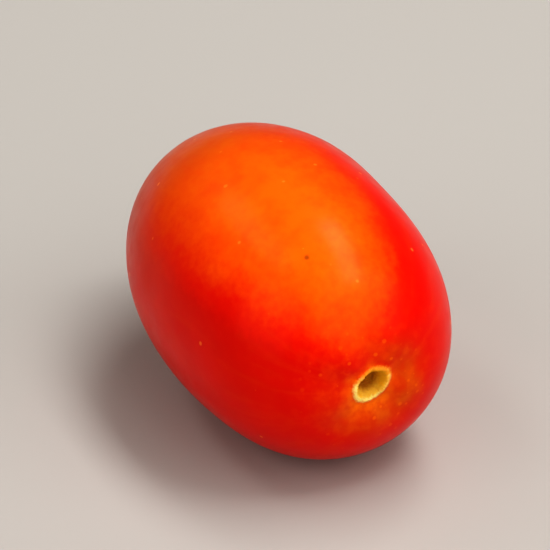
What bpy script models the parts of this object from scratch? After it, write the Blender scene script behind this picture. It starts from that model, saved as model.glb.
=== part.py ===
"""A picked grape tomato lying on its side, as one solid, in metres with +Z up.

The fruit's own axis is X, from the blossom end at -X to the stem end at +X, and it lies with that
axis level. The origin is on the surface under it, below the middle of its box.
"""

from math import pi, radians

import bmesh
import bpy
import numpy as np
from mathutils import Matrix

# The fruit's overall size
DIAMETER = 0.0268
STEM_REACH = 0.0199
BLOSSOM_REACH = 0.0219

# How square each end's outline is: 2 is an ellipse, more is blunter, less is more pointed
STEM_BLUNTNESS = 2.6
BLOSSOM_BLUNTNESS = 2.0
BLUNTNESS_BLEND = 0.55

# The faint unevenness of its cross-section and of its axis
OVAL_SHARE = 0.010
OVAL_TURN = radians(110)
LOBES = 3
LOBE_SHARE = 0.009
LOBE_TURN = radians(70)
BEND = 0.0006
BEND_TURN = radians(-55)

# The blossom end's small blunt point
POINT_HEIGHT = 0.0008
POINT_RADIUS = 0.0021

# The dimple at the stem end, and the corky scar at its bottom
DIMPLE_DEPTH = 0.0009
DIMPLE_RADIUS = 0.0038
SCAR_RADIUS = 0.0021
SCAR_LIP_RADIUS = 0.0015
SCAR_LIP_WIDTH = 0.00045
SCAR_LIP_HEIGHT = 0.00028
HOLLOW_RADIUS = 0.00085
HOLLOW_DEPTH = 0.0007

# The flat spot that it rests on, and the block that cuts it
FLAT_DEPTH = 0.00027
CUTTER_SIZE = 0.06

# The mesh: meridians, parallels, and how much closer the parallels are at the two ends
MERIDIANS = 64
PARALLELS = 52
END_CROWDING = 0.72

SKIN_COLOUR = (0.76, 0.055, 0.004, 1.0)
SKIN_ROUGHNESS = 0.3
CORK_COLOUR = (0.66, 0.40, 0.10, 1.0)
CORK_ROUGHNESS = 0.75


def clear_scene():
    for thing in list(bpy.data.objects):
        bpy.data.objects.remove(thing)


def new_collection(name):
    collection = bpy.data.collections.new(name)
    bpy.context.scene.collection.children.link(collection)
    return collection


def new_material(name, colour, roughness):
    material = bpy.data.materials.new(name)
    material.use_nodes = True
    shader = material.node_tree.nodes["Principled BSDF"]
    shader.inputs["Base Color"].default_value = colour
    shader.inputs["Roughness"].default_value = roughness
    shader.inputs["Metallic"].default_value = 0.0
    material.diffuse_color = colour
    return material


def smooth_step(low, high, value):
    """0 below low, 1 above high, and an even S curve between them."""
    share = np.clip((value - low) / (high - low), 0, 1)
    return share * share * (3 - 2 * share)


def hump(distance, radius):
    """A bell curve: 1 at no distance, falling to 1/e at the radius."""
    return np.exp(-((distance / radius) ** 2))


def outline(angle):
    """The place along the axis and the radius of the plain fruit, at an angle from its stem pole.

    The outline is a superellipse, |x/a|^n + |r/b|^n = 1. Its reach a and its exponent n differ
    between the ends, and the exponent blends from one to the other across the widest section.
    """
    along, across = np.cos(angle), np.sin(angle)
    reach = np.where(along > 0, STEM_REACH, BLOSSOM_REACH)
    stem_share = smooth_step(-BLUNTNESS_BLEND, BLUNTNESS_BLEND, along)
    bluntness = BLOSSOM_BLUNTNESS + stem_share * (STEM_BLUNTNESS - BLOSSOM_BLUNTNESS)
    size = (np.abs(along) ** bluntness + across**bluntness) ** (-1 / bluntness)
    return reach * size * along, DIAMETER / 2 * size * across


def end_relief(place, radius):
    """How far the skin stands out along the axis from the plain outline: dimple, scar and point."""
    at_stem = place > 0
    lip = SCAR_LIP_HEIGHT * hump(radius - SCAR_LIP_RADIUS, SCAR_LIP_WIDTH)
    dimple = DIMPLE_DEPTH * hump(radius, DIMPLE_RADIUS)
    hollow = HOLLOW_DEPTH * hump(radius, HOLLOW_RADIUS)
    return np.where(at_stem, lip - dimple - hollow, -POINT_HEIGHT * hump(radius, POINT_RADIUS))


def skin_points(ball):
    """Moves points of a unit ball, poles on X, onto the fruit's skin, in the fruit's own frame.

    A point's angle from the stem pole gives its place along the axis and its radius. Its turn
    round the axis gives the oval and the lobes, which fade out towards the ends. The axis bends
    in a shallow parabola towards BEND_TURN.
    """
    angle = np.arccos(np.clip(ball[:, 0], -1, 1))
    angle = angle - END_CROWDING * np.sin(2 * angle) / 2
    turn = np.arctan2(ball[:, 2], ball[:, 1])
    place, radius = outline(angle)
    unevenness = OVAL_SHARE * np.cos(2 * (turn - OVAL_TURN)) + LOBE_SHARE * np.cos(
        LOBES * (turn - LOBE_TURN)
    )
    round_radius = radius
    radius = radius * (1 + unevenness * np.sin(angle) ** 2)
    place = place + end_relief(place, round_radius)
    bend = BEND * (place / BLOSSOM_REACH) ** 2
    return np.stack(
        [
            place,
            radius * np.cos(turn) + bend * np.cos(BEND_TURN),
            radius * np.sin(turn) + bend * np.sin(BEND_TURN),
        ],
        axis=1,
    )


def fruit_mesh(skin, cork):
    """The whole fruit before its flat spot, shaped from a sphere."""
    bm = bmesh.new()
    poles_on_x = Matrix.Rotation(pi / 2, 4, "Y")
    bmesh.ops.create_uvsphere(
        bm, u_segments=MERIDIANS, v_segments=PARALLELS, radius=1, matrix=poles_on_x
    )
    mesh = bpy.data.meshes.new("tomato")
    bm.to_mesh(mesh)
    bm.free()
    ball = np.empty(len(mesh.vertices) * 3, np.float32)
    mesh.vertices.foreach_get("co", ball)
    points = skin_points(ball.reshape(-1, 3).astype(float))
    mesh.vertices.foreach_set("co", points.astype(np.float32).ravel())
    mesh.update()
    mesh.materials.append(skin)
    mesh.materials.append(cork)
    for face in mesh.polygons:
        off_axis = np.hypot(face.center.y, face.center.z)
        face.material_index = int(face.center.x > 0 and off_axis < SCAR_RADIUS)
    mesh.shade_smooth()
    return mesh


def lay_down(fruit):
    """Centres the fruit's box over the origin and sinks it by the flat spot's depth."""
    corners = np.array(fruit.bound_box)
    low, high = corners.min(axis=0), corners.max(axis=0)
    middle = (low + high) / 2
    fruit.location = (-middle[0], -middle[1], -low[2] - FLAT_DEPTH)


def flat_spot_cutter():
    """A block whose top face is the surface that the fruit rests on."""
    bm = bmesh.new()
    bmesh.ops.create_cube(
        bm, size=CUTTER_SIZE, matrix=Matrix.Translation((0, 0, -CUTTER_SIZE / 2))
    )
    mesh = bpy.data.meshes.new("resting_surface")
    bm.to_mesh(mesh)
    bm.free()
    cutter = bpy.data.objects.new("resting_surface", mesh)
    cutter.hide_render = True
    cutter.display_type = "WIRE"
    return cutter


def main():
    clear_scene()
    parts = new_collection("tomato")
    cutters = new_collection("cutters")
    skin = new_material("tomato_skin", SKIN_COLOUR, SKIN_ROUGHNESS)
    cork = new_material("scar_cork", CORK_COLOUR, CORK_ROUGHNESS)
    fruit = bpy.data.objects.new("tomato", fruit_mesh(skin, cork))
    parts.objects.link(fruit)
    lay_down(fruit)
    cutter = flat_spot_cutter()
    cutters.objects.link(cutter)
    flat_spot = fruit.modifiers.new("flat_spot", "BOOLEAN")
    flat_spot.operation = "DIFFERENCE"
    flat_spot.object = cutter


main()
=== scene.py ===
"""A picked grape tomato on a pale surface: its skin, its corky stem scar and its blossom point.

The skin is one surface worked out from two angles: one from the stem pole to the blossom pole, and
one round the fruit's own axis, which is X. Lengths are in metres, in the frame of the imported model.
"""

from math import cos, pi, radians, sin

import bpy
import numpy as np
from mathutils import Matrix, Vector


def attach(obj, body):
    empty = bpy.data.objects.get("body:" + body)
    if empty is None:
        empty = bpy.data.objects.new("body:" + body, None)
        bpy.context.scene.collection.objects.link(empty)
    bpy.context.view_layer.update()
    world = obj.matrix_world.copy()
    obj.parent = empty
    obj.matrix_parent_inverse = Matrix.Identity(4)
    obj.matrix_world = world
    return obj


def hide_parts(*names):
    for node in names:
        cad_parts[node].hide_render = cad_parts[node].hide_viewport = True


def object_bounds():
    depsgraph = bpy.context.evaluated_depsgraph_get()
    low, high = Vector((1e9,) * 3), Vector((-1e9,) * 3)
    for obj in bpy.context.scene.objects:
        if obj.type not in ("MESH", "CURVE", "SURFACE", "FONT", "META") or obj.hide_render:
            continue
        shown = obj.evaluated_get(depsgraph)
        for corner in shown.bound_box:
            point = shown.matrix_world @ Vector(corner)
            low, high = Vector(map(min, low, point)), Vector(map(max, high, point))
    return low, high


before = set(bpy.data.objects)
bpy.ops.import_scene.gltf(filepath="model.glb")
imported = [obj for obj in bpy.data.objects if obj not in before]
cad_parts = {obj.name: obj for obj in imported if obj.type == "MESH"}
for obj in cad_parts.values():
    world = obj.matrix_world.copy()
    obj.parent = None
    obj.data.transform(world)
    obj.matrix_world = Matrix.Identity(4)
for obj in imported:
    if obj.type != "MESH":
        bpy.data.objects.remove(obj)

cad_low, cad_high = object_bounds()

MM = 0.001

# The fruit's outline, as its solid has it
DIAMETER = 26.8 * MM
STEM_REACH = 19.9 * MM
BLOSSOM_REACH = 21.9 * MM
STEM_BLUNTNESS = 2.6
BLOSSOM_BLUNTNESS = 2.0
BLUNTNESS_BLEND = 0.55
OVAL_SHARE = 0.010
OVAL_TURN = radians(110)
LOBES = 3
LOBE_SHARE = 0.009
LOBE_TURN = radians(70)
BEND = 0.6 * MM
BEND_TURN = radians(-55)
POINT_HEIGHT = 0.8 * MM
POINT_RADIUS = 2.1 * MM
DIMPLE_DEPTH = 0.9 * MM
DIMPLE_RADIUS = 3.8 * MM
FLAT_DEPTH = 0.27 * MM

# The skin's grid, and how much closer its rings are at the two ends
MERIDIANS = 300
PARALLELS = 250
END_CROWDING = 0.86

# The skin's own fine form
CONTACT_SOFTNESS = 0.08 * MM
SWELL_HEIGHT = 0.07 * MM
SWELL_LENGTH = 11 * MM
SWELL_SEED = 3
SEPALS = 5
SEPAL_TURN = radians(18)
CREASE_DEPTH = 0.13 * MM
CREASE_RADIUS = 4.2 * MM
CREASE_WIDTH = 2.6 * MM

# The plane waves that an uneven field is made of
WAVE_COUNT = 24
WAVE_LENGTHS = (0.7, 1.5)

# The blush, partly painted light on top: its ridge's turn round the axis, strength at each end, and
# spread
LIT_BLUSH_TURN_STEM = radians(99)
LIT_BLUSH_TURN_BLOSSOM = radians(116)
LIT_BLUSH_TOP_STEM = 1.26
LIT_BLUSH_TOP_BLOSSOM = 0.74
LIT_BLUSH_FALL = 2.6
SHOULDER_LIT_BLUSH = 0.6
SHOULDER_RADIUS = 7 * MM

# The scar that the stalk left: its edge
LIP_RADIUS = 1.4 * MM
LIP_OVAL = 0.11
LIP_OVAL_TURN = radians(35)
LIP_WANDER = 0.02
LIP_WAVES = 3
LIP_WAVE_SHARE = 0.7
LIP_WAVE_PHASE = 1.1
LIP_POINT = 0.24
LIP_POINT_TURN = radians(38)
LIP_POINT_SHARPNESS = 5

# The scar's height, with spans in shares of the distance from its middle to its edge
LIP_WIDTH = 0.42 * MM
LIP_HEIGHT = 0.3 * MM
LIP_UNEVENNESS = 0.3
LIP_UNEVEN_PHASE = 0.4
HOLLOW_DEPTH = 1.0 * MM
HOLLOW_SPAN = (0.35, 1.0)
STUB_HEIGHT = 0.3 * MM
STUB_RADIUS = 0.32 * MM
CORK_GRAIN_HEIGHT = 0.035 * MM
CORK_GRAIN_LENGTH = 0.45 * MM
CORK_GRAIN_SEED = 5
CORK_SPAN = (1.1, 1.45)
CORK_CRACKS = 13
CORK_CRACK_DEPTH = 0.07 * MM
CORK_CRACK_SHARPNESS = 6
CORK_CRACK_SWAY = 2

# The zones of the stem end: the cork's pale side, the amber halo in lip radii, the dull zone that
# is widest on one side, and the dotted end as a whole
# The cork's pale side is partly painted light: the lip is creamier where it faces the light
PALE_TURN = radians(-105)
HALO_REACH = 1.8
HALO_SEPAL_REACH = 0.4
HALO_PALE_REACH = 1.3
HALO_FADE = (0.4, 1.0)
# The dull zone is painted shade on the stem end, deepest on its lower side
DULL_TURN = radians(-50)
DULL_FADE = (3.8 * MM, 6.8 * MM)
DULL_LEAST = 0.1
STEM_END_RADIUS = 6.5 * MM

# The small dark speck on the blush, by its angle from the stem pole and its turn round the axis
SPECK_ANGLE = radians(51.8)
SPECK_TURN = radians(108)

# The dry spot at the blossom point, where the style broke off, and the paler skin round it
SPOT_RADIUS = 0.42 * MM
SPOT_RIM_WIDTH = 0.15 * MM
SPOT_RIM_HEIGHT = 0.07 * MM
SPOT_PIT_DEPTH = 0.12 * MM
SPOT_PIT_SHARE = 0.6
SPOT_UNEVENNESS = 0.5
SPOT_UNEVEN_LENGTH = 0.5 * MM
SPOT_SEED = 9
TIP_RADIUS = 3.5 * MM

# What a mask in shares of a radius holds at the fruit's other end
FAR_OFF = 99

# Colours
RED = (0.80, 0.009, 0.0006, 1)
# Painted shade: the deep red stands in for the shade on the underside
SHADE_DEEP_RED = (0.70, 0.004, 0.0006, 1)
ORANGE = (0.92, 0.112, 0.001, 1)
AMBER = (0.90, 0.200, 0.004, 1)
# Painted shade: a darker burnt orange for the blossom end turned from the light, partly a less ripe
# tone
BURNT_ORANGE_SHADE = (0.48, 0.082, 0.001, 1)
# Painted shade for the stem end's lower side, mottled by noise
RUSSET_SHADE = (0.62, 0.105, 0.004, 1)
PALE_DOT_GLINT = (0.95, 0.290, 0.040, 1)
CORK_CREAM_LIT = (0.96, 0.740, 0.230, 1)
CORK_MUSTARD = (0.80, 0.270, 0.006, 1)
WALL_OLIVE = (0.70, 0.350, 0.015, 1)
HOLLOW_BROWN = (0.420, 0.155, 0.010, 1)
SPECK_BROWN = (0.20, 0.030, 0.006, 1)
SPOT_BROWN = (0.27, 0.105, 0.035, 1)

# A pattern's scale is in repeats a millimetre, a span is where an effect starts and is full, and a
# strength is the most that it shows. Noise swings about its middle.
NOISE_MIDDLE = 0.5
NOISE_ROUGHNESS = 0.5

# The skin's ground: how the blush and its painted light are broken up, and where on it each colour
# comes in
PATCH_SCALE = 0.11
PATCH_SWING = 0.5
MOTTLE_SCALE = 1.3
MOTTLE_SWING = 0.35
RED_SPAN = (-0.1, 0.35)
ORANGE_SPAN = (0.25, 0.85)
# Amber on the blush's crest is partly a painted highlight streak
AMBER_HIGHLIGHT_SPAN = (0.72, 1.05)
AMBER_HIGHLIGHT_STRENGTH = 0.5
CLOUD_SCALE = 0.3
CLOUD_SPAN = (0.4, 0.75)
CLOUD_STRENGTH = 0.3
# Painted shade towards the blossom end, partly a less ripe tone
BURNT_SHADE_SPAN = (0.35, 0.85)
BURNT_SHADE_STRENGTH = 0.72
BURNT_SHADE_BLUSH_SPAN = (-0.9, 0.5)
BURNT_SHADE_LEAST = 0.35

# Strands, pores that also paint tiny glints, and the mottle and dots at the stem end
STRAND_SCALE = 8.0
STRAND_SPAN = (0.5, 0.75)
STRAND_STRENGTH = 0.05
PORE_GLINT_SCALE = 0.55
PORE_GLINT_CHOICE = (0.3, 1.0)
PORE_GLINT_SIZE = 0.125
PORE_GLINT_EDGE = (-0.03, 0.04)
PORE_GLINT_STRENGTH = 0.55
STEM_MOTTLE_SCALE = 1.0
STEM_MOTTLE_SPAN = (0.42, 0.7)
STEM_MOTTLE_STRENGTHS = (0.02, 0.25)
DOT_SCALE = 1.15
DOT_CHOICE = (0.1, 1.0)
DOT_SIZE = 0.27
DOT_EDGE = (-0.05, 0.12)
DOT_ZONE = (0.1, 0.9)
DOT_STRENGTH = 0.45

# The dull zone's russet, a painted shade broken up by noise, and the halo
RUSSET_SHADE_SCALE = 0.5
RUSSET_SHADE_SPAN = (0.35, 0.65)
RUSSET_SHADE_STRENGTHS = (0.45, 0.95)
HALO_SCALE = 1.4
HALO_SPAN = (0.3, 0.7)
HALO_STRENGTHS = (0.3, 0.75)

# The scar's cork, with spans in shares of the distance from its middle to its edge
GRAIN_SCALE = 4.5
GRAIN_ON_SCAR = 0.2
CORK_MOTTLE_SCALE = 1.1
CORK_MOTTLE_SWING = 1.2
LIT_CREAM_SPAN = (0.15, 0.85)
LIT_CREAM_STRENGTHS = (0.1, 1.0)
WALL_SPAN = (0.95, 1.2)
WALL_STRENGTH = 0.85
CORK_EDGE = (1.2, 1.45)
HOLLOW_EDGE = (0.55, 0.88)

# The blossom point, with spans in shares of the dry spot's radius, and the speck, in millimetres
TIP_STRENGTH = 0.4
GRAIN_ON_SPOT = 0.9
SPOT_RING_SPAN = (1.5, 2.3)
SPOT_RING_STRENGTH = 0.75
SPOT_EDGE = (0.9, 1.6)
GRAIN_ON_SPECK = 0.15
SPECK_SPAN = (0.15, 0.45)
SPECK_STRENGTH = 0.65

# Gloss and fine relief
GLOSS_SCALE = 0.5
GLOSS_SPAN = (0.3, 0.7)
SKIN_ROUGHNESS = (0.29, 0.37)
DRY_ROUGHNESS = 0.85
SPECULAR_LEVEL = 0.14
SPECULAR_TINT = (1.0, 0.55, 0.18, 1)
COAT_WEIGHT = 0.06
COAT_ROUGHNESS = 0.2
FLESH_WEIGHT = 0.12
FLESH_RADIUS = (1.0, 0.25, 0.08)
FLESH_SCALE = 1.2 * MM
PEEL_SCALE = 0.9
PEEL_STRENGTH = 0.04
CORK_STRENGTH = 0.6
RELIEF_HEIGHT = 0.2 * MM

# The floor and the room
FLOOR_HALF_WIDTH = 3.0
FLOOR_COLOUR = (0.47, 0.445, 0.415, 1)
FLOOR_ROUGHNESS = 0.8
ROOM_COLOUR = (1, 0.9, 0.78, 1)
ROOM_STRENGTH = 0.12

# The view of the photograph: where the camera stands, and how large a length it shows
CAMERA_AZIMUTH = radians(66.2)
CAMERA_ELEVATION = radians(30.5)
LENS = 300
SENSOR = 36
CLIP_START = 0.01
VIEWED_LENGTH = 1.25 * DIAMETER
FRAME_FILL = 0.64


def smooth_step(low, high, value):
    """0 below low, 1 above high, and an even S curve between them."""
    share = np.clip((value - low) / (high - low), 0, 1)
    return share * share * (3 - 2 * share)


def hump(distance, radius):
    """A bell curve: 1 at no distance, falling to 1/e at the radius."""
    return np.exp(-((distance / radius) ** 2))


def nearness(turn):
    """Half of one more than the cosine: 1 at no turn, and 0 at half a turn."""
    return 0.5 + 0.5 * np.cos(turn)


def waves(points, length, seed):
    """A smooth uneven field: the mean of plane waves of about one length in seeded directions."""
    draw = np.random.default_rng(seed)
    directions = draw.normal(size=(WAVE_COUNT, 3))
    directions /= np.linalg.norm(directions, axis=1, keepdims=True)
    lengths = length * draw.uniform(*WAVE_LENGTHS, WAVE_COUNT)
    phases = draw.uniform(0, 2 * pi, WAVE_COUNT)
    steps = points @ (directions * (2 * pi / lengths)[:, None]).T
    return np.cos(steps + phases).mean(axis=-1) * np.sqrt(WAVE_COUNT / 2)


def outline(angle):
    """The place along the axis and the radius of the plain fruit, at an angle from its stem pole.

    The outline is a superellipse, |x/a|^n + |r/b|^n = 1, whose reach a and exponent n differ
    between the ends, with the exponent blended across the widest section.
    """
    along, across = np.cos(angle), np.sin(angle)
    reach = np.where(along > 0, STEM_REACH, BLOSSOM_REACH)
    stem_share = smooth_step(-BLUNTNESS_BLEND, BLUNTNESS_BLEND, along)
    bluntness = BLOSSOM_BLUNTNESS + stem_share * (STEM_BLUNTNESS - BLOSSOM_BLUNTNESS)
    size = (np.abs(along) ** bluntness + across**bluntness) ** (-1 / bluntness)
    return reach * size * along, DIAMETER / 2 * size * across


def scar_reach(turn):
    """The scar's edge at a turn round the axis.

    It is an oval that swells a little towards each sepal, with a blunt point on one side: the
    cosine of the turn from the point, cut off at 0 and raised to a power.
    """
    oval = LIP_OVAL * np.cos(2 * (turn - LIP_OVAL_TURN))
    wave = LIP_WAVE_SHARE * np.cos(LIP_WAVES * turn + LIP_WAVE_PHASE)
    wander = LIP_WANDER * (np.cos(SEPALS * (turn - SEPAL_TURN)) + wave)
    point = LIP_POINT * np.clip(np.cos(turn - LIP_POINT_TURN), 0, 1) ** LIP_POINT_SHARPNESS
    return LIP_RADIUS * (1 + oval + wander + point)


def scar_relief(radius, turn, points):
    """The scar's height: a lip with cracks across it, a hollow inside and a stub at its middle.

    The lip is a bell curve across the scar's edge, uneven round it. The hollow falls on an S curve
    inside the edge. The cracks are a sharpened cosine of the turn, which sways as it goes round.
    """
    reach = scar_reach(turn)
    share = radius / reach
    on_lip = hump(radius - reach, LIP_WIDTH)
    lip = LIP_HEIGHT * on_lip * (1 + LIP_UNEVENNESS * np.cos(2 * turn + LIP_UNEVEN_PHASE))
    crack_turn = CORK_CRACKS * turn + CORK_CRACK_SWAY * np.sin(2 * turn)
    cracks = np.clip(np.cos(crack_turn), 0, 1) ** CORK_CRACK_SHARPNESS
    hollow = HOLLOW_DEPTH * (1 - smooth_step(*HOLLOW_SPAN, share))
    stub = STUB_HEIGHT * hump(radius, STUB_RADIUS)
    grain = CORK_GRAIN_HEIGHT * waves(points, CORK_GRAIN_LENGTH, CORK_GRAIN_SEED)
    on_cork = 1 - smooth_step(*CORK_SPAN, share)
    return lip - hollow + stub + on_cork * grain - CORK_CRACK_DEPTH * cracks * on_lip


def spot_relief(radius, points):
    """The dry spot's height: an uneven rim, which is a bell curve across its edge, round a pit."""
    uneven = 1 + SPOT_UNEVENNESS * waves(points, SPOT_UNEVEN_LENGTH, SPOT_SEED)
    rim = SPOT_RIM_HEIGHT * hump(radius - SPOT_RADIUS, SPOT_RIM_WIDTH)
    pit = SPOT_PIT_DEPTH * hump(radius, SPOT_PIT_SHARE * SPOT_RADIUS)
    return (rim - pit) * uneven


def skin_points(angle, turn):
    """The skin at two angles: from the stem pole, and round the axis.

    The plain outline gets the oval and the lobes on its radius. Along the axis it gets the dimple,
    the scar and shallow creases between the sepals at the stem end, and a bell-shaped point with
    its dry spot at the blossom end. The axis bends in a shallow parabola, and a slow swell moves
    the skin outwards.
    """
    place, radius = outline(angle)
    plain = np.stack([place, radius * np.cos(turn), radius * np.sin(turn)], axis=-1)
    at_stem = place > 0
    creases = -CREASE_DEPTH * np.cos(SEPALS * (turn - SEPAL_TURN))
    creases = creases * hump(radius - CREASE_RADIUS, CREASE_WIDTH)
    dimple = DIMPLE_DEPTH * hump(radius, DIMPLE_RADIUS)
    stem_relief = creases - dimple + scar_relief(radius, turn, plain)
    point_relief = POINT_HEIGHT * hump(radius, POINT_RADIUS) + spot_relief(radius, plain)
    place = place + np.where(at_stem, stem_relief, -point_relief)
    oval = OVAL_SHARE * np.cos(2 * (turn - OVAL_TURN))
    lobes = LOBE_SHARE * np.cos(LOBES * (turn - LOBE_TURN))
    body = np.sin(angle) ** 2
    swell = SWELL_HEIGHT * waves(plain, SWELL_LENGTH, SWELL_SEED) * body
    radius = radius * (1 + (oval + lobes) * body) + swell
    bend = BEND * (place / BLOSSOM_REACH) ** 2
    across = radius * np.cos(turn) + bend * np.cos(BEND_TURN)
    upward = radius * np.sin(turn) + bend * np.sin(BEND_TURN)
    return np.stack([place, across, upward], axis=-1)


def lay_on_surface(points):
    """Centres the fruit over the origin and presses its underside into a small flat spot.

    A height below the surface becomes nearly 0 and one above it stays, by
    (z + sqrt(z^2 + s^2)) / 2, so the flat spot's edge is rounded over the length s.
    """
    low, high = points.min(axis=0), points.max(axis=0)
    middle = (low + high) / 2
    moved = points - np.array([middle[0], middle[1], low[2] + FLAT_DEPTH])
    height = moved[:, 2]
    moved[:, 2] = (height + np.sqrt(height**2 + CONTACT_SOFTNESS**2)) / 2
    return moved


def skin_grid():
    """The two angles of every point: the stem pole, then ring after ring, then the blossom pole.

    The rings' even steps are moved by the sine of their double, so they crowd at both ends.
    """
    steps = np.linspace(0, pi, PARALLELS + 2)
    angles = steps - END_CROWDING * np.sin(2 * steps) / 2
    turns = np.arange(MERIDIANS) * 2 * pi / MERIDIANS
    angle, turn = np.meshgrid(angles[1:-1], turns, indexing="ij")
    angle = np.concatenate([[0], angle.ravel(), [pi]])
    turn = np.concatenate([[0], turn.ravel(), [0]])
    return angle, turn


def skin_faces():
    """Quads between rings that each close on themselves, with a fan of triangles at each pole."""
    ring, column = np.meshgrid(np.arange(PARALLELS - 1), np.arange(MERIDIANS), indexing="ij")
    after = (column + 1) % MERIDIANS
    here = 1 + ring * MERIDIANS
    below = here + MERIDIANS
    quads = np.stack([here + column, below + column, below + after, here + after], axis=-1)
    column = np.arange(MERIDIANS)
    after = (column + 1) % MERIDIANS
    last = 1 + (PARALLELS - 1) * MERIDIANS
    stem_pole = np.zeros_like(column)
    blossom_pole = np.full_like(column, last + MERIDIANS)
    stem_fan = np.stack([stem_pole, 1 + column, 1 + after], axis=-1)
    blossom_fan = np.stack([blossom_pole, last + after, last + column], axis=-1)
    return quads.reshape(-1, 4).tolist() + stem_fan.tolist() + blossom_fan.tolist()


def lit_blush_share(angle, turn):
    """About 1 on the less ripe, painted lit top ridge, to 0 and below on the painted shaded
    underside.

    It falls with 1 - sqrt(r/R) * cos(turn from the ridge), so it runs smoothly over both poles. The
    ridge's turn and strength change evenly from end to end, and the stem end's shoulder keeps more.
    """
    place, radius = outline(angle)
    share = angle / pi
    ridge = LIT_BLUSH_TURN_STEM + share * (LIT_BLUSH_TURN_BLOSSOM - LIT_BLUSH_TURN_STEM)
    top = LIT_BLUSH_TOP_STEM + share * (LIT_BLUSH_TOP_BLOSSOM - LIT_BLUSH_TOP_STEM)
    facing = np.sqrt(2 * radius / DIAMETER) * np.cos(turn - ridge)
    shoulder = np.where(place > 0, hump(radius, SHOULDER_RADIUS), 0)
    return top - LIT_BLUSH_FALL * (1 - facing) + SHOULDER_LIT_BLUSH * shoulder


def skin_masks(angle, turn):
    """The zones that the material reads, by name, one number a point.

    scar_share and spot_share are the distance from the axis in shares of the scar's and of the dry
    spot's edge. The halo and the dull zone fade outwards on an S curve and reach furthest on one
    side. stem_end and tip_zone are bell curves round the two poles.
    """
    place, radius = outline(angle)
    at_stem = place > 0
    pale_side = nearness(turn - PALE_TURN)
    sepal = nearness(SEPALS * (turn - SEPAL_TURN))
    halo_shape = HALO_REACH + HALO_SEPAL_REACH * sepal**2 + HALO_PALE_REACH * pale_side**2
    halo = 1 - smooth_step(*HALO_FADE, radius / (LIP_RADIUS * halo_shape))
    dull_side = DULL_LEAST + (1 - DULL_LEAST) * nearness(turn - DULL_TURN)
    dull = (1 - smooth_step(*DULL_FADE, radius)) * dull_side
    return {
        "scar_share": np.where(at_stem, radius / scar_reach(turn), FAR_OFF),
        "halo": np.where(at_stem, halo, 0),
        "pale_side": pale_side,
        "blush_and_light": lit_blush_share(angle, turn),
        "stem_end": np.where(at_stem, hump(radius, STEM_END_RADIUS), 0),
        "dull_shade_zone": np.where(at_stem, dull, 0),
        "spot_share": np.where(at_stem, FAR_OFF, radius / SPOT_RADIUS),
        "tip_zone": np.where(at_stem, 0, hump(radius, TIP_RADIUS)),
    }


def make_fruit():
    """The whole skin as one closed mesh, with what its material reads, and the speck's place.

    The vector "strands" holds the turn's cosine and sine and the share of the way from the stem
    pole, so a pattern on it runs from end to end without a seam.
    """
    angle, turn = skin_grid()
    points = lay_on_surface(skin_points(angle, turn))
    mesh = bpy.data.meshes.new("fruit")
    mesh.from_pydata(points.tolist(), [], skin_faces())
    for name, values in skin_masks(angle, turn).items():
        layer = mesh.attributes.new(name, "FLOAT", "POINT")
        layer.data.foreach_set("value", values.astype(np.float32))
    strands = np.stack([np.cos(turn), np.sin(turn), angle / pi], axis=1)
    layer = mesh.attributes.new("strands", "FLOAT_VECTOR", "POINT")
    layer.data.foreach_set("vector", strands.astype(np.float32).ravel())
    mesh.shade_smooth()
    fruit = bpy.data.objects.new("fruit", mesh)
    bpy.context.scene.collection.objects.link(fruit)
    nearest = np.argmin(np.hypot(angle - SPECK_ANGLE, turn - SPECK_TURN))
    return fruit, points[nearest]


class NodeTree:
    """A material's nodes, added one at a time, each with its inputs given by name or number."""

    def __init__(self, material):
        material.use_nodes = True
        self.tree = material.node_tree
        self.shader = self.tree.nodes["Principled BSDF"]

    def add(self, kind, inputs, **settings):
        """Adds a node, sets its properties and its inputs, and returns it."""
        node = self.tree.nodes.new(kind)
        for name, value in settings.items():
            setattr(node, name, value)
        for name, value in inputs.items():
            self.give(node.inputs[name], value)
        return node

    def give(self, socket, value):
        """Links an output to the socket, or sets the socket to a plain value."""
        if isinstance(value, bpy.types.NodeSocket):
            self.tree.links.new(value, socket)
        else:
            socket.default_value = value

    def attribute(self, name, output="Fac"):
        """One of the mesh's masks, or with the output "Vector" its vector."""
        return self.add("ShaderNodeAttribute", {}, attribute_name=name).outputs[output]

    def noise(self, vector, scale, detail):
        """Smooth noise in space, between 0 and 1. More detail adds finer and finer waves."""
        inputs = {
            "Vector": vector,
            "Scale": scale,
            "Detail": detail,
            "Roughness": NOISE_ROUGHNESS,
        }
        return self.add("ShaderNodeTexNoise", inputs).outputs["Fac"]

    def swing(self, vector, scale, detail, height):
        """Noise less its middle, so that it swings about 0, times the height."""
        centred = self.math("SUBTRACT", self.noise(vector, scale, detail), NOISE_MIDDLE)
        return self.math("MULTIPLY", centred, height)

    def math(self, operation, first, second):
        """Two numbers added, subtracted, multiplied or compared, as the operation says."""
        return self.add("ShaderNodeMath", {0: first, 1: second}, operation=operation).outputs[0]

    def between(self, value, span, ends=(0.0, 1.0)):
        """The value taken from its span to the two ends on an even S curve, and held past them."""
        inputs = {
            "Value": value,
            "From Min": span[0],
            "From Max": span[1],
            "To Min": ends[0],
            "To Max": ends[1],
        }
        settings = {"interpolation_type": "SMOOTHSTEP"}
        return self.add("ShaderNodeMapRange", inputs, **settings).outputs["Result"]

    def blend(self, share, first, second):
        """The colour first, moved towards second by share."""
        node = self.add("ShaderNodeMix", {}, data_type="RGBA")
        self.give(node.inputs["Factor"], share)
        colours = [socket for socket in node.inputs if socket.type == "RGBA"]
        self.give(colours[0], first)
        self.give(colours[1], second)
        return next(socket for socket in node.outputs if socket.type == "RGBA")


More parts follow.
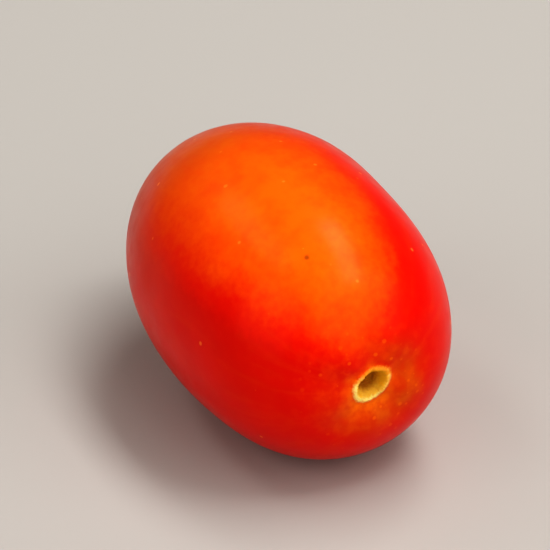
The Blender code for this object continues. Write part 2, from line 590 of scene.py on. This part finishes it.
def ripening(nodes, to_mm):
    """The ground: red, deep red painted shade, orange with painted light, burnt orange shade to the
    blossom end.

    Slow and fine noise is added to the blush, and each colour comes in over its span of the sum.
    """
    patches = nodes.swing(to_mm, PATCH_SCALE, detail=2.5, height=PATCH_SWING)
    mottle = nodes.swing(to_mm, MOTTLE_SCALE, detail=3.0, height=MOTTLE_SWING)
    blush_and_light = nodes.math("ADD", nodes.attribute("blush_and_light"), patches)
    blush_and_light = nodes.math("ADD", blush_and_light, mottle)
    # Painted shade and light: deep red where the field is low underneath, orange where it is high on
    # top
    ground = nodes.blend(nodes.between(blush_and_light, RED_SPAN), SHADE_DEEP_RED, RED)
    ground = nodes.blend(nodes.between(blush_and_light, ORANGE_SPAN), ground, ORANGE)
    # Painted highlight: amber along the blush's crest, partly the skin's own colour
    ground = nodes.blend(nodes.between(blush_and_light, AMBER_HIGHLIGHT_SPAN, (0.0, AMBER_HIGHLIGHT_STRENGTH)), ground, AMBER)
    clouds = nodes.noise(to_mm, CLOUD_SCALE, detail=4.0)
    ground = nodes.blend(nodes.between(clouds, CLOUD_SPAN, (0.0, CLOUD_STRENGTH)), ground, RED)
    strands = nodes.attribute("strands", "Vector")
    along = nodes.add("ShaderNodeSeparateXYZ", {0: strands}).outputs["Z"]
    # Painted shade: the ground darkens towards the blossom end, partly a less ripe tone
    burnt_shade = nodes.between(along, BURNT_SHADE_SPAN, (0.0, BURNT_SHADE_STRENGTH))
    on_blush = nodes.between(blush_and_light, BURNT_SHADE_BLUSH_SPAN, (BURNT_SHADE_LEAST, 1.0))
    return nodes.blend(nodes.math("MULTIPLY", burnt_shade, on_blush), ground, BURNT_ORANGE_SHADE)


def round_dots(nodes, to_mm, scale, channel, choice, size, edge):
    """1 inside round dots of many sizes, one at most to each cell, and 0 outside them.

    A cell's own random number, taken from the choice span to 0 and the largest size, is the dot's
    radius in cells. The radius less the distance from the cell's middle crosses the edge span.
    """
    cells = nodes.add("ShaderNodeTexVoronoi", {"Vector": to_mm, "Scale": scale}, feature="F1")
    chosen = nodes.add("ShaderNodeSeparateColor", {0: cells.outputs["Color"]}).outputs[channel]
    radius = nodes.between(chosen, choice, (0.0, size))
    return nodes.between(nodes.math("SUBTRACT", radius, cells.outputs["Distance"]), edge)


def strands_and_dots(nodes, to_mm, ground):
    """Faint strands end to end, sparse pale pores partly painting glints, and mottle and dots at the
    stem end.
    """
    strands = nodes.noise(nodes.attribute("strands", "Vector"), STRAND_SCALE, detail=3.0)
    strands = nodes.between(strands, STRAND_SPAN, (0.0, STRAND_STRENGTH))
    ground = nodes.blend(strands, ground, AMBER)
    # Painted glints: the pale pores also stand in for tiny highlights on the skin
    pores_and_glints = round_dots(nodes, to_mm, PORE_GLINT_SCALE, "Red", PORE_GLINT_CHOICE, PORE_GLINT_SIZE, PORE_GLINT_EDGE)
    ground = nodes.blend(nodes.math("MULTIPLY", pores_and_glints, PORE_GLINT_STRENGTH), ground, PALE_DOT_GLINT)
    stem_end = nodes.attribute("stem_end")
    mottle = nodes.between(nodes.noise(to_mm, STEM_MOTTLE_SCALE, detail=3.0), STEM_MOTTLE_SPAN)
    amount = nodes.between(stem_end, (0.0, 1.0), STEM_MOTTLE_STRENGTHS)
    ground = nodes.blend(nodes.math("MULTIPLY", mottle, amount), ground, ORANGE)
    dots = round_dots(nodes, to_mm, DOT_SCALE, "Green", DOT_CHOICE, DOT_SIZE, DOT_EDGE)
    amount = nodes.between(stem_end, DOT_ZONE, (0.0, DOT_STRENGTH))
    return nodes.blend(nodes.math("MULTIPLY", dots, amount), ground, AMBER)


def scar_cork(nodes, to_mm, grain, ground):
    """The cork over the ground: cream on its pale side, partly painted light, olive on its inner
    wall, brown inside.

    Also returns the cork's mask.
    """
    roughened = nodes.math("MULTIPLY", grain, GRAIN_ON_SCAR)
    share = nodes.math("ADD", nodes.attribute("scar_share"), roughened)
    mottle = nodes.swing(to_mm, CORK_MOTTLE_SCALE, detail=2.0, height=CORK_MOTTLE_SWING)
    paleness = nodes.math("ADD", nodes.attribute("pale_side"), mottle)
    # Painted light: creamier cork on the pale side, mustard on the far side
    lit_cream = nodes.between(paleness, LIT_CREAM_SPAN, LIT_CREAM_STRENGTHS)
    cork = nodes.blend(lit_cream, CORK_MUSTARD, CORK_CREAM_LIT)
    cork = nodes.blend(nodes.between(share, WALL_SPAN, (WALL_STRENGTH, 0.0)), cork, WALL_OLIVE)
    on_cork = nodes.between(share, CORK_EDGE, (1.0, 0.0))
    in_hollow = nodes.between(share, HOLLOW_EDGE, (1.0, 0.0))
    ground = nodes.blend(on_cork, ground, cork)
    return nodes.blend(in_hollow, ground, HOLLOW_BROWN), on_cork


def blossom_point(nodes, grain, ground):
    """Orange skin at the point, and a brown dry spot with a mustard ring on it.

    Also returns the dry spot's mask.
    """
    tip = nodes.math("MULTIPLY", nodes.attribute("tip_zone"), TIP_STRENGTH)
    ground = nodes.blend(tip, ground, ORANGE)
    roughened = nodes.math("MULTIPLY", grain, GRAIN_ON_SPOT)
    share = nodes.math("ADD", nodes.attribute("spot_share"), roughened)
    ring = nodes.between(share, SPOT_RING_SPAN, (SPOT_RING_STRENGTH, 0.0))
    ground = nodes.blend(ring, ground, CORK_MUSTARD)
    in_spot = nodes.between(share, SPOT_EDGE, (1.0, 0.0))
    return nodes.blend(in_spot, ground, SPOT_BROWN), in_spot


def dark_speck(nodes, to_mm, grain, ground, speck_place):
    """A speck where the distance from its place, made uneven by the grain, is small."""
    ends = {0: to_mm, 1: speck_place / MM}
    distance = nodes.add("ShaderNodeVectorMath", ends, operation="DISTANCE").outputs["Value"]
    distance = nodes.math("ADD", distance, nodes.math("MULTIPLY", grain, GRAIN_ON_SPECK))
    speck = nodes.between(distance, SPECK_SPAN, (SPECK_STRENGTH, 0.0))
    return nodes.blend(speck, ground, SPECK_BROWN)


def skin_material(speck_place):
    """Ripe skin with the corky scar at one end, the blossom's dry spot at the other and a speck."""
    material = bpy.data.materials.new("tomato_skin")
    nodes = NodeTree(material)
    place = nodes.add("ShaderNodeTexCoord", {}).outputs["Object"]
    mapping = {"Vector": place, "Scale": (1 / MM, 1 / MM, 1 / MM)}
    to_mm = nodes.add("ShaderNodeMapping", mapping).outputs[0]
    grain = nodes.noise(to_mm, GRAIN_SCALE, detail=3.0)

    ground = ripening(nodes, to_mm)
    # Painted shade: darker russet round the stem end, most on its lower side, mottled by noise
    russet_shade = nodes.noise(to_mm, RUSSET_SHADE_SCALE, detail=3.0)
    russet_shade = nodes.between(russet_shade, RUSSET_SHADE_SPAN, RUSSET_SHADE_STRENGTHS)
    dull = nodes.math("MULTIPLY", russet_shade, nodes.attribute("dull_shade_zone"))
    ground = nodes.blend(dull, ground, RUSSET_SHADE)
    ground = strands_and_dots(nodes, to_mm, ground)
    uneven = nodes.between(nodes.noise(to_mm, HALO_SCALE, detail=3.0), HALO_SPAN, HALO_STRENGTHS)
    halo = nodes.math("MULTIPLY", nodes.attribute("halo"), uneven)
    ground = nodes.blend(halo, ground, AMBER)
    ground, on_cork = scar_cork(nodes, to_mm, grain, ground)
    ground, in_spot = blossom_point(nodes, grain, ground)
    ground = dark_speck(nodes, to_mm, grain, ground, speck_place)

    gloss = nodes.between(nodes.noise(to_mm, GLOSS_SCALE, detail=3.0), GLOSS_SPAN, SKIN_ROUGHNESS)
    dry = nodes.math("MAXIMUM", on_cork, in_spot)
    roughness = nodes.add("ShaderNodeMix", {0: dry, 2: gloss, 3: DRY_ROUGHNESS}).outputs[0]
    peel = {
        "Height": nodes.noise(to_mm, PEEL_SCALE, detail=1.0),
        "Strength": PEEL_STRENGTH,
        "Distance": RELIEF_HEIGHT,
    }
    cork = {
        "Height": nodes.math("MULTIPLY", grain, dry),
        "Strength": CORK_STRENGTH,
        "Distance": RELIEF_HEIGHT,
        "Normal": nodes.add("ShaderNodeBump", peel).outputs[0],
    }

    sockets = nodes.shader.inputs
    nodes.give(sockets["Base Color"], ground)
    nodes.give(sockets["Roughness"], roughness)
    nodes.give(sockets["Normal"], nodes.add("ShaderNodeBump", cork).outputs[0])
    sockets["Specular IOR Level"].default_value = SPECULAR_LEVEL
    sockets["Specular Tint"].default_value = SPECULAR_TINT
    sockets["Coat Weight"].default_value = COAT_WEIGHT
    sockets["Coat Roughness"].default_value = COAT_ROUGHNESS
    sockets["Subsurface Weight"].default_value = FLESH_WEIGHT
    sockets["Subsurface Radius"].default_value = FLESH_RADIUS
    sockets["Subsurface Scale"].default_value = FLESH_SCALE
    return material


def make_floor():
    """A wide pale sheet that the fruit rests on."""
    material = bpy.data.materials.new("pale_floor")
    sockets = NodeTree(material).shader.inputs
    sockets["Base Color"].default_value = FLOOR_COLOUR
    sockets["Roughness"].default_value = FLOOR_ROUGHNESS
    half = FLOOR_HALF_WIDTH
    corners = [(-half, -half, 0), (half, -half, 0), (half, half, 0), (-half, half, 0)]
    mesh = bpy.data.meshes.new("floor")
    mesh.from_pydata(corners, [], [(0, 1, 2, 3)])
    mesh.materials.append(material)
    floor = bpy.data.objects.new("floor", mesh)
    bpy.context.scene.collection.objects.link(floor)


def direction(azimuth, elevation):
    """The unit vector from the fruit towards a camera or lamp. Azimuth 0 is in front, at -Y."""
    level = cos(elevation)
    return Vector((sin(azimuth) * level, -cos(azimuth) * level, sin(elevation)))


def make_camera(target):
    """The camera, so far back that the viewed length fills its share of the frame."""
    data = bpy.data.cameras.new("camera")
    data.lens = LENS
    data.sensor_width = SENSOR
    data.clip_start = CLIP_START
    camera = bpy.data.objects.new("camera", data)
    back = direction(CAMERA_AZIMUTH, CAMERA_ELEVATION)
    camera.location = target + back * (VIEWED_LENGTH / FRAME_FILL * LENS / SENSOR)
    camera.rotation_mode = "QUATERNION"
    camera.rotation_quaternion = (-back).to_track_quat("-Z", "Y")
    bpy.context.scene.collection.objects.link(camera)
    bpy.context.scene.camera = camera


def make_lamp(name, target, azimuth, elevation, distance, sides, power):
    """A soft box that faces the fruit, with its first side as near the fruit's axis as it can be.

    Angles are in degrees, lengths in metres and power in watts.
    """
    data = bpy.data.lights.new(name, "AREA")
    data.shape = "RECTANGLE"
    data.size, data.size_y = sides
    data.energy = power
    lamp = bpy.data.objects.new(name, data)
    back = direction(radians(azimuth), radians(elevation))
    lamp.location = target + back * distance
    across = back.cross(Vector((1, 0, 0))).normalized()
    turned = Matrix((across.cross(back), across, back)).transposed()
    lamp.rotation_mode = "QUATERNION"
    lamp.rotation_quaternion = turned.to_quaternion()
    bpy.context.scene.collection.objects.link(lamp)


def light_scene(target):
    """A pale room, two long soft boxes above the fruit, and a wide one each side of the camera."""
    world = bpy.data.worlds.new("pale_room")
    world.use_nodes = True
    sockets = world.node_tree.nodes["Background"].inputs
    sockets["Color"].default_value = ROOM_COLOUR
    sockets["Strength"].default_value = ROOM_STRENGTH
    scene = bpy.context.scene
    scene.world = world
    scene.view_settings.view_transform = "Standard"
    scene.view_settings.look = "High Contrast"
    make_lamp(
        "right_strip", target,
        azimuth=172, elevation=71, distance=0.8, sides=(0.75, 0.22), power=3.6,
    )
    make_lamp(
        "left_strip", target,
        azimuth=-48, elevation=54, distance=0.9, sides=(0.8, 0.2), power=0.8,
    )
    make_lamp(
        "right_fill", target,
        azimuth=112, elevation=35, distance=1.2, sides=(1.6, 1.6), power=10.2,
    )
    make_lamp(
        "left_fill", target,
        azimuth=18, elevation=26, distance=1.3, sides=(1.2, 1.2), power=4.8,
    )


fruit, speck_place = make_fruit()
fruit.data.materials.append(skin_material(speck_place))
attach(fruit, "root")
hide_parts("tomato")

middle = (Vector(cad_low) + Vector(cad_high)) / 2
make_floor()
make_camera(middle)
light_scene(middle)
